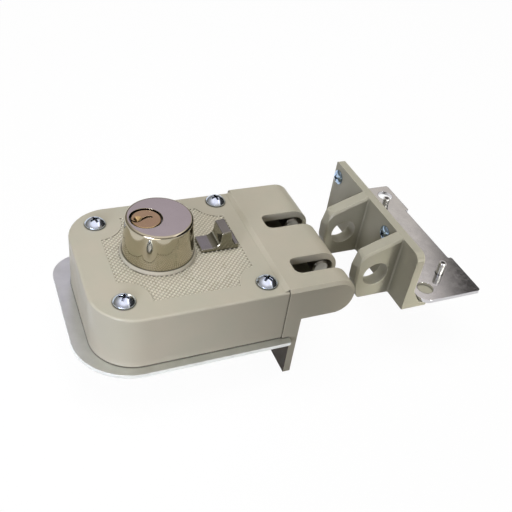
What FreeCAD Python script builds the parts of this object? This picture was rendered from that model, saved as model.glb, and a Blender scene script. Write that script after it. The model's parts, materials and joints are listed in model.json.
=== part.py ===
"""Double cylinder rim lock with its strike, in millimetres.

Frame: the door's face is the plane z = 0 and the room is above it (+Z). The axis of the key
cylinder is x = y = 0, +X runs along the case to the door's edge and the strike, and the bolts are
thrown along -Y. The strike stands apart, pulled straight out along +X from its closed place.
"""
import FreeCAD
import Part
import math
import os

V = FreeCAD.Vector

# Fits and clearances
RUN = 0.06               # radial running clearance of a pin or shaft in its hole
SLIDE = 0.15             # clearance between flat faces that slide on each other
SNUG = 0.03              # radial clearance of a pin that is pressed in
THROUGH = 0.10           # radial clearance of a fixed screw in its hole
BREAK = 0.4              # small edge break
BLOCK = 30.0             # reach of a block that only cuts

# Mounting plate on the door
plate_t = 1.9
plate_left_margin = 7.0
plate_near_margin = 4.0
plate_far_margin = 1.9
plate_near_r = 26.0
plate_far_r = 14.0
plate_end_gap = 0.6
plate_end_r = 1.2
connect_hole_r = 2.3     # holes for the two screws of the outer cylinder
connect_pitch = 27.0
connect_x = 4.0

# Case
case_left = 35.9
case_near = 40.6
case_far = 36.1
case_depth = 27.6
case_wall = 2.6
case_corner_r = 20.0
case_edge_r = 1.0

# Nose with its slots and flange
nose_left = 47.2
nose_rise = 1.2
nose_ramp = 2.3
nose_near_step = 0.6
nose_far_step = 1.8
nose_round_back = 2.3    # centre of the nose's round, before the bolts' axis
nose_r = 9.9
nose_hollow_r = 5.7
nose_end_wall = 2.6
nose_chamfer = 1.5
slot_left = 54.4
slot_near = 2.3          # near side of the far slot
slot_w = 10.6
slot_pitch = 33.3
slot_corner_r = 3.4
flange_x = 51.4
flange_t = 3.6
flange_drop = 22.6
flange_heel = 0.4        # the root stands this far over the door's edge face

# Case screws: x, distance in from the far or near side, turn of the cross recess
far_screws_in = [(-22.6, 11.4, 20), (37.7, 6.1, 10)]
near_screws_in = [(-22.2, 12.2, 62), (39.6, 8.7, 35)]
screw_r = 2.4
screw_head_r = 4.7
screw_head_h = 3.1
screw_past_door = 8.0
post_r = 4.2

# Knurled panel
panel_left = 22.4
panel_near_margin = 9.7
panel_far_margin = 9.5
panel_right = 37.5
panel_depth = 0.45
panel_notch_r = 11.8

# Key cylinder
collar_r = 17.1
collar_top_r = 16.6
collar_h = 1.5
shell_base_r = 15.9
shell_top_r = 14.8
shell_rise = 18.9        # above the face
shell_edge_r = 1.3
spigot_r = 14.0
spigot_below = 2.4       # below the inside of the face
plug_x = -5.9
plug_r = 6.45
plug_below_top = 0.3
plug_edge = 0.3
mouth_r = 7.2            # dark ring round the plug's face
mouth_depth = 1.2
keyway_w = 1.2
keyway_line = [(-8.0, 1.9), (-6.1, 0.3), (-5.3, -0.9), (-3.6, -1.0), (-1.1, 0.3), (0.9, 1.2), (3.0, 0.8)]
key_funnel_r = 1.9       # cone that leads the key into its slot
key_funnel_depth = 1.1
key_funnel_at = (-3.3, 0.6)
tail_w = 6.2
tail_t = 1.6
tail_in_plug = 2.0
tail_in_hub = 9.0
tail_fit = 0.12

# Pin stacks
pin_count = 5
pin_r = 1.4
pin_first = 5.0          # first stack below the plug's face
pin_pitch = 3.8
bottom_pin_len = 5.4
driver_pin_len = 4.6
pin_tip_gap = 0.2        # each pin's flat tip to the shear surface
chamber_wall = 1.8
spring_wall = 0.3

# Plug clip
clip_t = 0.8
clip_r = 7.1
clip_groove = 0.5

# Retaining bar
bar_t = 1.6
bar_w = 26.0
bar_reach = 17.2
ring_wall = 3.5
bar_screw_r = 1.5
bar_screw_head_r = 2.7
bar_screw_share = 0.25   # place along the bar's width
bar_screw_y = 8.5
bar_screw_len = 7.0

# Hub
hub_r = 5.5
hub_journal_r = 5.0
hub_top_journal_r = 4.0
hub_lift = 0.3
hub_tail_depth = 11.0
lever_t = 3.0
lever_pin_r = 2.0
lever_pin_at = 10.6      # pin's distance from the hub axis
lever_boss_r = 3.4
lever_rest_deg = 45.0
lever_gap = 0.4

# Bolt carrier and bolts
bolt_throw = 15.0
bolt_x = 73.6
bolt_r = 4.1
bolt_tip_in = 0.4        # tip behind the slot's wall at rest
bolt_tail_gap = 2.1      # upper bolt's tail to the nose's end wall
bolt_edge = 0.8
carrier_t = 3.0
carrier_near = -8.0
carrier_far = 24.0
carrier_left = 12.0
strip_left = 44.5
strip_right = 53.0
prong_left = 0.5
prong_w = 5.0
fork_play = 0.45
fork_end = 7.3
tongue_w = 5.0
tongue_from_tail = 0.2
tongue_past_axis = 3.0
cross_pin_r = 1.2
cross_pin_half = 3.7

# Guide studs
studs_at = [(18.3, -1.0), (42.0, -1.0)]
stud_r = 2.0
stud_head_r = 3.5
stud_head_h = 1.6
stud_thread_r = 1.5
stud_thread_len = 3.2
stud_boss_r = 3.2

# Leaf spring
leaf_x0 = 46.2
leaf_x1 = 50.6
leaf_t = 0.5
leaf_pad_in = (14.1, 6.1)
leaf_touch = (7.0, 9.0)
leaf_tip = 3.0
leaf_screw_in = 10.1
leaf_screw_r = 1.2
leaf_screw_len = 2.4

# Slide button
button_x0 = 18.4
button_x1 = 36.0
button_y = -1.15
button_w = 10.5
button_lift = 0.15
button_base_t = 1.5
button_travel = 5.5
ridge_x0 = 27.1
ridge_x1 = 32.5
ridge_top_left = 9.2
ridge_top_right = 9.8
ridge_lean_left = 0.25
ridge_lean_right = 0.7
ridge_round = 0.6
hollow_left = 4.5        # how far the hollow runs out into the flat base
hollow_left_h = 3.6
hollow_right = 1.7
hollow_right_h = 3.0
lip_h = 2.4
stem_x0 = 25.0
stem_x1 = 29.0
stem_w = 4.0
stem_play = 0.25
lock_plate_t = 2.0
lock_plate_gap = 0.5
lock_plate_x0 = 22.5
lock_plate_w = 10.1
tab_x0 = 29.3
tab_t = 2.0
tab_play = 0.6
tab_reach = 2.7          # below the carrier's upper face
slide_screw_r = 1.2
slide_screw_head_r = 2.3
slide_screw_head_h = 1.3

# Strike
strike_apart = 24.0      # eyes from the bolts' axis, as photographed
strike_bottom = 7.3
strike_h = 32.6
strike_t = 4.1
strike_far_step = 1.55   # past the case's far side
strike_near_step = 2.9
strike_corner_r = 4.0
eye_back = 10.4          # eye centre from the upright face
eye_r = 6.6
arm_t = 6.2
arm_side_gap = 0.7       # arm to the near side of its slot
arm_len = 21.0
arm_edge = 0.9
arm_root_r = 0.5
arm_heel = (3.5, 2.0)    # underside's corner from the tip, and its radius
arm_chin = (0.4, -3.3)   # from the tip, and above the bolts' axis
arm_brow = (0.0, 9.0)
arm_shoulder = (2.7, 12.1)
arm_knee = (9.8, 15.5)   # from the upright's face, and above the bolts' axis
arm_bevel_low = 2.9
arm_bevel_near = 9.4
arm_bevel_top = (2.0, 11.6)
foot_t = 2.0
foot_reach = 41.5
foot_near_reach = 13.6
foot_near_step = 2.0
web_reach = 5.4
web_rise = 8.9
face_screw_far_in = 4.45
face_screw_mid_y = -16.1
face_screw_z = 32.7
face_screw_r = 2.1
face_screw_head_r = 3.8
face_screw_head_h = 2.0

# Backing plate of the strike
back_t = 1.9
back_left_gap = 0.4
back_near_step = 1.5     # past the strike's near end
back_far_step = 10.05
back_right = 44.7        # from the strike's upright face
back_notch = 2.1
back_notch_y = (-19.2, 23.4)
back_left_r = 6.0
back_corner_r = 1.5
back_hole_r = 4.1
back_holes_in = [(17.3, 8.6), (38.2, 8.7)]
clamp_screws_at = [(30.8, -28.4), (31.2, 28.2)]
clamp_screw_r = 1.9
clamp_screw_rise = 6.9
clamp_head_r = 3.4
clamp_head_h = 1.5       # flush in the foot
clamp_slot_w = 0.8
clamp_slot_depth = 0.7
thread_pitch = 0.8
thread_depth = 0.25

# Levels and places that follow from the sizes above
z_case = plate_t
z_face = z_case + case_depth
z_in = z_face - case_wall
z_nose = z_face + nose_rise
bolt_z = z_nose - nose_r
nose_bottom = bolt_z - nose_r
nose_near = case_near + nose_near_step
nose_far = case_far + nose_far_step
nose_round_x = bolt_x - nose_round_back
nose_tip = nose_round_x + nose_r
case_screws_at = [(x, case_far - inset, turn) for x, inset, turn in far_screws_in]
case_screws_at += [(x, inset - case_near, turn) for x, inset, turn in near_screws_in]
panel_near = case_near - panel_near_margin
panel_far = case_far - panel_far_margin
bar_screw_at = (bar_w * bar_screw_share, bar_screw_y)
z_shell_top = z_face + shell_rise
z_shell_bottom = z_in - spigot_below
z_plug_top = z_shell_top - plug_below_top
z_carrier = bolt_z - carrier_t / 2
z_carrier_top = bolt_z + carrier_t / 2
z_bar = z_shell_bottom - bar_t
z_lever_top = z_carrier - lever_gap
z_tail_bottom = z_shell_bottom - tail_in_hub
lever_angle = math.radians(lever_rest_deg)
pin_x = plug_x + lever_pin_at * math.cos(lever_angle)
pin_y = lever_pin_at * math.sin(lever_angle)
bolt_tip = slot_near + slot_w + bolt_tip_in
bolt_tail = nose_far - nose_end_wall - bolt_tail_gap
bolt_len = bolt_tail - bolt_tip
leaf_pad = (case_far - leaf_pad_in[0], case_far - leaf_pad_in[1])
leaf_screw_y = case_far - leaf_screw_in
stud_seat = z_carrier_top + SLIDE
stem_near = button_y - stem_w / 2
stem_far = button_y + stem_w / 2
arm_near = slot_near + arm_side_gap
eye_x = bolt_x + strike_apart
strike_x = eye_x + eye_back
strike_top = strike_bottom + strike_h
strike_far = case_far + strike_far_step
strike_near = case_near + strike_near_step
face_screws_at = [(strike_far - face_screw_far_in, face_screw_z, 15), (face_screw_mid_y, face_screw_z, 50)]
foot_top = strike_bottom + foot_t
back_near = strike_near + back_near_step
back_far = strike_far + back_far_step
back_holes_at = [(back_holes_in[0][0], back_holes_in[0][1] - back_near)]
back_holes_at.append((back_holes_in[1][0], back_far - back_holes_in[1][1]))
plug_hole_r = plug_r + RUN


def box(x0, x1, y0, y1, z0, z1):
    """Block between two corners."""
    return Part.makeBox(x1 - x0, y1 - y0, z1 - z0, V(x0, y0, z0))


def rod(x, y, z0, z1, r):
    """Upright cylinder."""
    return Part.makeCylinder(r, z1 - z0, V(x, y, z0), V(0, 0, 1))


def rod_y(x, z, y0, y1, r):
    """Cylinder along Y."""
    return Part.makeCylinder(r, y1 - y0, V(x, y0, z), V(0, 1, 0))


def rod_x(y, z, x0, x1, r):
    """Cylinder along X."""
    return Part.makeCylinder(r, x1 - x0, V(x0, y, z), V(1, 0, 0))


def rounded_wire(corners):
    """Closed wire through corners (point, radius), with an arc where the radius is over zero."""
    edges = []
    ends = []
    count = len(corners)
    for i in range(count):
        here, radius = corners[i]
        if radius <= 0:
            ends.append((here, here))
            continue
        back = (corners[i - 1][0] - here).normalize()
        ahead = (corners[(i + 1) % count][0] - here).normalize()
        half = back.getAngle(ahead) / 2
        run = radius / math.tan(half)
        middle = (back + ahead).normalize() * (radius / math.sin(half) - radius)
        start = here + back * run
        end = here + ahead * run
        edges.append(Part.Arc(start, here + middle, end).toShape())
        ends.append((start, end))
    for i in range(count):
        a = ends[i - 1][1]
        b = ends[i][0]
        if a.distanceToPoint(b) > 1e-6:
            edges.append(Part.LineSegment(a, b).toShape())
    return Part.Wire(Part.__sortEdges__(edges))


def slab(corners, z0, z1):
    """Plate with its outline in XY, from (x, y, radius) corners."""
    wire = rounded_wire([(V(x, y, z0), r) for x, y, r in corners])
    return Part.Face(wire).extrude(V(0, 0, z1 - z0))


def slab_y(corners, y0, y1):
    """Plate with its outline in XZ, from (x, z, radius) corners."""
    wire = rounded_wire([(V(x, y0, z), r) for x, z, r in corners])
    return Part.Face(wire).extrude(V(0, y1 - y0, 0))


def slab_x(corners, x0, x1):
    """Plate with its outline in YZ, from (y, z, radius) corners."""
    wire = rounded_wire([(V(x0, y, z), r) for y, z, r in corners])
    return Part.Face(wire).extrude(V(x1 - x0, 0, 0))


def turned(profile):
    """Solid turned about Z from (radius, z) points, the first and last on the axis."""
    points = [V(r, 0, z) for r, z in profile]
    face = Part.Face(Part.makePolygon(points + [points[0]]))
    return face.revolve(V(0, 0, 0), V(0, 0, 1), 360)


def placed(shape, at, axis=V(0, 0, 1), turn=0.0):
    """Shape built about Z, turned about itself, pointed along axis and moved to a place."""
    spun = FreeCAD.Rotation(V(0, 0, 1), turn)
    aimed = FreeCAD.Rotation(V(0, 0, 1), axis)
    shape.Placement = FreeCAD.Placement(at, aimed.multiply(spun))
    return shape


def pan_head(head_r, head_h):
    """Domed pan head on z = 0 with a cross recess."""
    edge = head_h * 0.26
    rise = head_h - edge
    dome_r = (head_r ** 2 + rise ** 2) / (2 * rise)
    half = math.asin(head_r / dome_r) / 2
    shoulder = V(dome_r * math.sin(half), 0, head_h - dome_r + dome_r * math.cos(half))
    rim = V(head_r, 0, edge)
    crown = V(0, 0, head_h)
    edges = [
        Part.LineSegment(V(0, 0, 0), V(head_r, 0, 0)).toShape(),
        Part.LineSegment(V(head_r, 0, 0), rim).toShape(),
        Part.Arc(rim, shoulder, crown).toShape(),
        Part.LineSegment(crown, V(0, 0, 0)).toShape(),
    ]
    head = Part.Face(Part.Wire(edges)).revolve(V(0, 0, 0), V(0, 0, 1), 360)
    wing = head_r * 0.48
    blade = head_r * 0.12
    floor = head_h * 0.42
    across = box(-wing, wing, -blade, blade, floor, head_h + 1)
    along = box(-blade, blade, -wing, wing, floor, head_h + 1)
    return head.cut([across, along])


def pan_screw(head_r, head_h, shank_r, length):
    """Pan-head screw with its seat on z = 0 and a pointed shank below."""
    point = shank_r * 1.2
    shank = turned([
        (0, -length), (shank_r * 0.35, -length), (shank_r, point - length), (shank_r, 0.2), (0, 0.2),
    ])
    return pan_head(head_r, head_h).fuse(shank)


def threaded_rod(r, z0, z1, pitch, depth):
    """Rod with ring threads from z0 to z1 and a small bevel on its end."""
    profile = [(0, z0), (r, z0)]
    turns = int((z1 - z0 - depth) / pitch)
    for i in range(turns):
        base = z0 + i * pitch
        profile += [(r - depth, base + pitch * 0.5), (r, base + pitch)]
    profile += [(r - depth, z1), (0, z1)]
    return turned(profile)


def edges_where(shape, test):
    """Edges whose centre passes a test."""
    return [e for e in shape.Edges if test(e.CenterOfMass)]


def case_outline(margin, right, left_r):
    """Outline of the case drawn in or out by a margin, straight at its right end."""
    return [
        (-case_left - margin, -case_near - margin, left_r),
        (right, -case_near - margin, 0),
        (right, case_far + margin, 0),
        (-case_left - margin, case_far + margin, left_r),
    ]


def slot_outline(near_y):
    """Outline of a nose slot, open past the nose's tip."""
    return [
        (slot_left, near_y, slot_corner_r),
        (nose_tip + 2, near_y, 0),
        (nose_tip + 2, near_y + slot_w, 0),
        (slot_left, near_y + slot_w, slot_corner_r),
    ]


def case_body():
    """Outside of the case without the nose, its face edges rounded."""
    right = nose_left + case_wall
    body = slab(case_outline(0, right, case_corner_r), z_case, z_face)
    rim = edges_where(body, lambda c: abs(c.z - z_face) < 1e-4 and c.x < right - 0.01)
    return body.makeFillet(case_edge_r, rim)


def nose_block():
    """Outside of the nose, with bevelled ends, and the flange that hangs past the door's edge."""
    low = V(nose_round_x, -nose_near, nose_bottom)
    tip = V(nose_tip, -nose_near, bolt_z)
    high = V(nose_round_x, -nose_near, z_nose)
    start = V(nose_left, -nose_near, nose_bottom)
    top = V(nose_left, -nose_near, z_nose)
    edges = [
        Part.LineSegment(start, low).toShape(),
        Part.Arc(low, tip, high).toShape(),
        Part.LineSegment(high, top).toShape(),
        Part.LineSegment(top, start).toShape(),
    ]
    nose = Part.Face(Part.Wire(edges)).extrude(V(0, nose_near + nose_far, 0))
    ends = edges_where(nose, lambda c: abs(abs(c.y - (nose_far - nose_near) / 2)
                                           - (nose_far + nose_near) / 2) < 1e-4
                       and c.x > nose_left + 0.01)
    nose = nose.makeChamfer(nose_chamfer, ends)
    flange_back = flange_x + flange_t
    root = box(nose_left, flange_back, -nose_near, nose_far, z_case, nose_bottom + nose_chamfer + 1)
    heel = box(flange_x - flange_heel, flange_back, -nose_near, nose_far, 0, z_case + 1)
    flange = box(flange_x, flange_back, -nose_near, nose_far, -flange_drop, 1)
    foot = edges_where(flange, lambda c: c.z < -flange_drop + 1e-4)
    flange = flange.makeChamfer(BREAK, foot)
    ramp_face = [
        (nose_left - nose_ramp, z_face - 1, 0),
        (nose_left + 1, z_face - 1, 0),
        (nose_left + 1, z_nose, 0),
        (nose_left, z_nose, 0),
        (nose_left - nose_ramp, z_face, 0),
    ]
    ramp = slab_y(ramp_face, -case_near + case_edge_r, case_far - case_edge_r)
    return nose.fuse([root, heel, flange, ramp])


def case_shell():
    """Painted die-cast case: shell, nose with two slots, collar, posts, bosses and flange."""
    shell = case_body().fuse(nose_block())
    inner = slab(case_outline(-case_wall, flange_x, case_corner_r - case_wall), z_case - 1, z_in)
    hollow_near = -nose_near + nose_end_wall
    hollow_far = nose_far - nose_end_wall
    hollow = box(nose_left + case_wall, bolt_x, hollow_near, hollow_far,
                 bolt_z - nose_hollow_r, bolt_z + nose_hollow_r)
    nose_bore = rod_y(bolt_x, bolt_z, hollow_near, hollow_far, nose_hollow_r)
    shell = shell.cut([inner, hollow, nose_bore])

    added = [turned([(0, z_face - 1), (collar_r, z_face - 1), (collar_r, z_face),
                     (collar_top_r, z_face + collar_h), (0, z_face + collar_h)])]
    added.append(rod(0, 0, z_shell_bottom, z_in + 1, spigot_r + RUN + ring_wall))
    for x, y, _ in case_screws_at:
        added.append(rod(x, y, z_case, z_in + 1, post_r))
    for x, y in studs_at:
        added.append(rod(x, y, stud_seat, z_in + 1, stud_boss_r))
    shell = shell.fuse(added)

    removed = [rod(0, 0, z_case, z_face + collar_h + 1, spigot_r + RUN)]
    for near_y in (slot_near, slot_near - slot_pitch):
        removed.append(slab(slot_outline(near_y), nose_bottom - 1e-3, z_nose + 1))
    for x, y, _ in case_screws_at:
        removed.append(rod(x, y, z_case - 1, z_face + 1, screw_r + THROUGH))
    for x, y in studs_at:
        removed.append(rod(x, y, stud_seat - 1, stud_seat + stud_thread_len + 0.3, stud_thread_r + SNUG))
    leaf_x = (leaf_x0 + leaf_x1) / 2
    removed.append(rod(leaf_x, leaf_screw_y, z_in - 1, z_in + leaf_screw_len, leaf_screw_r + SNUG))
    removed.append(box(stem_x0 - stem_play, stem_x1 + button_travel + stem_play,
                       stem_near - stem_play, stem_far + stem_play, z_in - 1, z_face + 1))
    removed.append(panel_recess())
    return shell.cut(removed)


def panel_recess():
    """Shallow recess of the knurled panel, with a round notch at each screw and the collar."""
    recess = box(-panel_left, panel_right, -panel_near, panel_far, z_face - panel_depth, z_face + 0.5)
    kept = [rod(x, y, z_face - 1, z_face + 1, panel_notch_r) for x, y, _ in case_screws_at]
    kept.append(rod(0, 0, z_face - 1, z_face + 1, collar_r))
    return recess.cut(kept)


def mounting_plate():
    """Zinc-plated plate between the case and the door."""
    end = flange_x - plate_end_gap
    outline = [
        (-case_left - plate_left_margin, -case_near - plate_near_margin, plate_near_r),
        (end, -case_near - plate_near_margin, plate_end_r),
        (end, case_far + plate_far_margin, plate_end_r),
        (-case_left - plate_left_margin, case_far + plate_far_margin, plate_far_r),
    ]
    plate = slab(outline, 0, plate_t)
    holes = [rod(x, y, -1, plate_t + 1, screw_r + THROUGH) for x, y, _ in case_screws_at]
    holes.append(rod(plug_x, 0, -1, plate_t + 1, hub_journal_r + RUN))
    for side in (-1, 1):
        holes.append(rod(connect_x, side * connect_pitch / 2, -1, plate_t + 1, connect_hole_r))
    return plate.cut(holes)


def case_screws():
    """Four pan-head screws from the face through the mounting plate."""
    screws = []
    for x, y, turn in case_screws_at:
        screw = pan_screw(screw_head_r, screw_head_h, screw_r, z_face + screw_past_door)
        screws.append(placed(screw, V(x, y, z_face), turn=turn))
    return Part.Compound(screws)


def stack_levels():
    """Height of each pin stack."""
    return [z_plug_top - pin_first - i * pin_pitch for i in range(pin_count)]


def cylinder_shell():
    """Chrome body of the key cylinder, with the plug's bore and the pin chambers."""
    foot = z_face + collar_h
    body = turned([
        (0, z_shell_bottom), (spigot_r, z_shell_bottom), (spigot_r, foot), (shell_base_r, foot),
        (shell_top_r, z_shell_top), (0, z_shell_top),
    ])
    body = body.makeFillet(shell_edge_r, edges_where(body, lambda c: c.z > z_shell_top - 1e-4))
    cuts = [rod(plug_x, 0, z_shell_bottom - 1, z_shell_top + 1, plug_hole_r)]
    cuts.append(rod(plug_x, 0, z_shell_top - mouth_depth, z_shell_top + 1, mouth_r))
    cuts.append(rod(plug_x, 0, z_shell_bottom - 1, z_shell_bottom + clip_t + 2 * SLIDE, clip_r + SLIDE))
    for z in stack_levels():
        cuts.append(rod_x(0, z, plug_x, shell_top_r - chamber_wall, pin_r + RUN))
    for side in (-1, 1):
        x, y = bar_screw_at
        cuts.append(rod(x, side * y, z_shell_bottom - 1, z_shell_bottom + bar_screw_len, bar_screw_r + SNUG))
    return body.cut(cuts)


def keyway():
    """Paracentric key slot, open on the plug's -X side."""
    upper = [(plug_x + x, y + keyway_w / 2, 0) for x, y in keyway_line]
    lower = [(plug_x + x, y - keyway_w / 2, 0) for x, y in reversed(keyway_line)]
    return slab(upper + lower, z_shell_bottom + tail_in_plug + 0.6, z_plug_top + 1)


def cylinder_plug():
    """Brass plug with keyway and its entry cone, pin holes, clip groove and tailpiece slot."""
    bottom = z_shell_bottom + SLIDE / 2
    groove = bottom + SLIDE
    plug = turned([
        (0, bottom), (plug_r, bottom), (plug_r, z_plug_top - plug_edge), (plug_r - plug_edge, z_plug_top),
        (0, z_plug_top),
    ])
    plug = placed(plug, V(plug_x, 0, 0))
    ring = rod(plug_x, 0, groove, groove + clip_t + SLIDE, plug_r + 1)
    ring = ring.cut(rod(plug_x, 0, groove - 1, groove + clip_t + 1, plug_r - clip_groove))
    funnel = turned([
        (0, z_plug_top - key_funnel_depth), (key_funnel_r, z_plug_top), (key_funnel_r, z_plug_top + 1),
        (0, z_plug_top + 1),
    ])
    funnel_x, funnel_y = key_funnel_at
    cuts = [keyway(), ring, placed(funnel, V(plug_x + funnel_x, funnel_y, 0))]
    for z in stack_levels():
        cuts.append(rod_x(0, z, plug_x - 0.5, plug_x + plug_r + 1, pin_r + RUN))
    half_w = tail_w / 2 + tail_fit
    half_t = tail_t / 2 + tail_fit
    cuts.append(box(plug_x - half_w, plug_x + half_w, -half_t, half_t, bottom - 1, bottom + tail_in_plug))
    return plug.cut(cuts)


def shear_flat(radius):
    """Distance from the plug's axis to a flat pin tip that just meets a round of this radius."""
    return math.sqrt(radius ** 2 - pin_r ** 2)


def bottom_pins():
    """Bottom pins, lifted to the shear line as the right key holds them."""
    tip = plug_x + shear_flat(plug_r) - pin_tip_gap
    return Part.Compound([rod_x(0, z, tip - bottom_pin_len, tip, pin_r) for z in stack_levels()])


def driver_start():
    """Flat inner tip of the driver pins."""
    return plug_x + plug_hole_r + pin_tip_gap


def driver_pins():
    """Driver pins in the shell's chambers."""
    start = driver_start()
    return Part.Compound([rod_x(0, z, start, start + driver_pin_len, pin_r) for z in stack_levels()])


def pin_springs():
    """Pin springs as plain sleeves that fill their coil space."""
    start = driver_start() + driver_pin_len + SNUG
    end = shell_top_r - chamber_wall - SNUG
    springs = []
    for z in stack_levels():
        sleeve = rod_x(0, z, start, end, pin_r - SNUG)
        springs.append(sleeve.cut(rod_x(0, z, start - 1, end + 1, pin_r - spring_wall)))
    return Part.Compound(springs)


def plug_clip():
    """Ring that sits in the plug's groove under the shell's shoulder."""
    base = z_shell_bottom + SLIDE / 2 + SLIDE + SLIDE / 2
    ring = rod(plug_x, 0, base, base + clip_t, clip_r)
    ring = ring.cut(rod(plug_x, 0, base - 1, base + clip_t + 1, plug_r - clip_groove + SNUG))
    mouth = plug_r - clip_groove - 1.2
    return ring.cut(box(plug_x - clip_r - 1, plug_x, -mouth, mouth, base - 1, base + clip_t + 1))


def tailpiece():
    """Flat blade from the plug into the hub."""
    top = z_shell_bottom + SLIDE / 2 + tail_in_plug - SLIDE
    return box(plug_x - tail_w / 2, plug_x + tail_w / 2, -tail_t / 2, tail_t / 2, z_tail_bottom, top)


def retaining_bar():
    """Bar across the cylinder's end that bears on the case's ring."""
    bar = box(-bar_w / 2, bar_w / 2, -bar_reach, bar_reach, z_bar, z_shell_bottom)
    bar = bar.common(rod(0, 0, z_bar, z_shell_bottom, bar_reach))
    cuts = [rod(plug_x, 0, z_bar - 1, z_shell_bottom + 1, hub_top_journal_r + RUN)]
    for side in (-1, 1):
        x, y = bar_screw_at
        sink = turned([
            (0, z_bar - 0.01), (bar_screw_head_r, z_bar - 0.01), (bar_screw_r, z_bar + bar_t * 0.8),
            (bar_screw_r, z_shell_bottom + 1), (0, z_shell_bottom + 1),
        ])
        cuts.append(placed(sink, V(x, side * y, 0)))
    return bar.cut(cuts)


def retaining_screws():
    """Countersunk screws that hold the bar to the cylinder."""
    screws = []
    for side in (-1, 1):
        x, y = bar_screw_at
        rim = bar_screw_head_r - SNUG
        shank = bar_screw_r - SNUG
        end = z_shell_bottom + bar_screw_len - 0.5
        screw = turned([(0, z_bar), (rim, z_bar), (shank, z_bar + bar_t * 0.8), (shank, end), (0, end)])
        slot = box(-0.4, 0.4, -bar_screw_head_r, bar_screw_head_r, z_bar - 1, z_bar + 0.6)
        screws.append(placed(screw.cut(slot), V(x, side * y, 0), turn=30 * side))
    return Part.Compound(screws)


def drive_hub():
    """Hub with its lever: the inner tailpiece enters from above, the outer one from below."""
    top = z_shell_bottom - hub_lift
    shoulder = z_bar - SLIDE
    hub = turned([
        (0, hub_lift), (hub_journal_r, hub_lift), (hub_journal_r, plate_t + hub_lift),
        (hub_r, plate_t + hub_lift),
        (hub_r, shoulder), (hub_top_journal_r, shoulder), (hub_top_journal_r, top), (0, top),
    ])
    hub = placed(hub, V(plug_x, 0, 0))
    z0 = z_lever_top - lever_t
    boss = rod(pin_x, pin_y, z0, z_lever_top, lever_boss_r)
    arm = box(0, lever_pin_at, -lever_boss_r, lever_boss_r, 0, lever_t)
    arm = placed(arm, V(plug_x, 0, z0), turn=lever_rest_deg)
    hub = hub.fuse([boss, arm])
    half_w = tail_w / 2 + tail_fit
    half_t = tail_t / 2 + tail_fit
    upper = box(plug_x - half_w, plug_x + half_w, -half_t, half_t, z_tail_bottom - 0.5, top + 1)
    lower = box(plug_x - half_w, plug_x + half_w, -half_t, half_t, -1, hub_lift + hub_tail_depth)
    crossed = box(plug_x - half_t, plug_x + half_t, -half_w, half_w, -1, hub_lift + hub_tail_depth)
    pin_hole = rod(pin_x, pin_y, z0 - 1, z_lever_top + 1, lever_pin_r + SNUG)
    return hub.cut([upper, lower, crossed, pin_hole])


def cam_pin():
    """Pin of the lever, working in the carrier's fork."""
    return rod(pin_x, pin_y, z_lever_top - lever_t, z_carrier_top - BREAK, lever_pin_r)


def bolt_tails():
    """Tail end of each bolt along Y."""
    return [bolt_tail, bolt_tail - slot_pitch]


def bolt_carrier():
    """Plate that the lever drives, with a fork, a window for the locking tab and two tongues."""
    tongue_x = bolt_x + tongue_past_axis
    fork_half = lever_pin_r + fork_play
    prong_low = pin_y - fork_half - prong_w
    prong_high = pin_y + fork_half + prong_w
    far_tongue = bolt_tail - tongue_from_tail
    plate = box(carrier_left, strip_right, carrier_near, carrier_far, z_carrier, z_carrier_top)
    strip = box(strip_left, strip_right, carrier_near, far_tongue, z_carrier, z_carrier_top)
    prongs = box(prong_left, carrier_left + 1, prong_low, prong_high, z_carrier, z_carrier_top)
    added = [strip, prongs]
    for tail in bolt_tails():
        end = tail - tongue_from_tail
        added.append(box(strip_left, tongue_x, end - tongue_w, end, z_carrier, z_carrier_top))
    plate = plate.fuse(added)
    cuts = [box(prong_left - 1, fork_end, pin_y - fork_half, pin_y + fork_half,
                z_carrier - 1, z_carrier_top + 1)]
    low = stem_near - tab_play
    high = stem_far + tab_play
    tab_x1 = tab_x0 + tab_t
    cuts.append(box(tab_x0 - tab_play, tab_x1 + tab_play, low, high + bolt_throw,
                    z_carrier - 1, z_carrier_top + 1))
    for shift in (0, bolt_throw):
        cuts.append(box(tab_x0, tab_x1 + button_travel + tab_play, low + shift, high + shift,
                        z_carrier - 1, z_carrier_top + 1))
    for x, y in studs_at:
        half = stud_r + RUN
        cuts.append(box(x - half, x + half, y, y + bolt_throw, z_carrier - 1, z_carrier_top + 1))
        cuts.append(rod(x, y, z_carrier - 1, z_carrier_top + 1, half))
        cuts.append(rod(x, y + bolt_throw, z_carrier - 1, z_carrier_top + 1, half))
    for tail in bolt_tails():
        cuts.append(rod(bolt_x, tail - tongue_from_tail - tongue_w / 2, z_carrier - 1, z_carrier_top + 1,
                        cross_pin_r + SNUG))
    return plate.cut(cuts).removeSplitter()


def bolt(tail):
    """Round bolt with a slot in its tail for the carrier's tongue and a hole for its pin."""
    body = turned([(0, 0), (bolt_r - BREAK, 0), (bolt_r, BREAK), (bolt_r, bolt_len - bolt_edge),
                   (bolt_r - bolt_edge, bolt_len), (0, bolt_len)])
    body = placed(body, V(bolt_x, tail, bolt_z), V(0, -1, 0))
    inner = tail - tongue_from_tail - tongue_w - SLIDE
    gap = SLIDE / 2
    slot = box(bolt_x - bolt_r - 1, bolt_x + tongue_past_axis + gap, inner, tail + 1,
               z_carrier - gap, z_carrier_top + gap)
    hole = rod(bolt_x, tail - tongue_from_tail - tongue_w / 2, bolt_z - bolt_r - 1, bolt_z + bolt_r + 1,
               cross_pin_r + SNUG)
    return body.cut([slot, hole])


def bolt_cross_pins():
    """Pins that hold the bolts on the carrier's tongues."""
    pins = []
    for tail in bolt_tails():
        y = tail - tongue_from_tail - tongue_w / 2
        pins.append(rod(bolt_x, y, bolt_z - cross_pin_half, bolt_z + cross_pin_half, cross_pin_r))
    return Part.Compound(pins)


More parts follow.
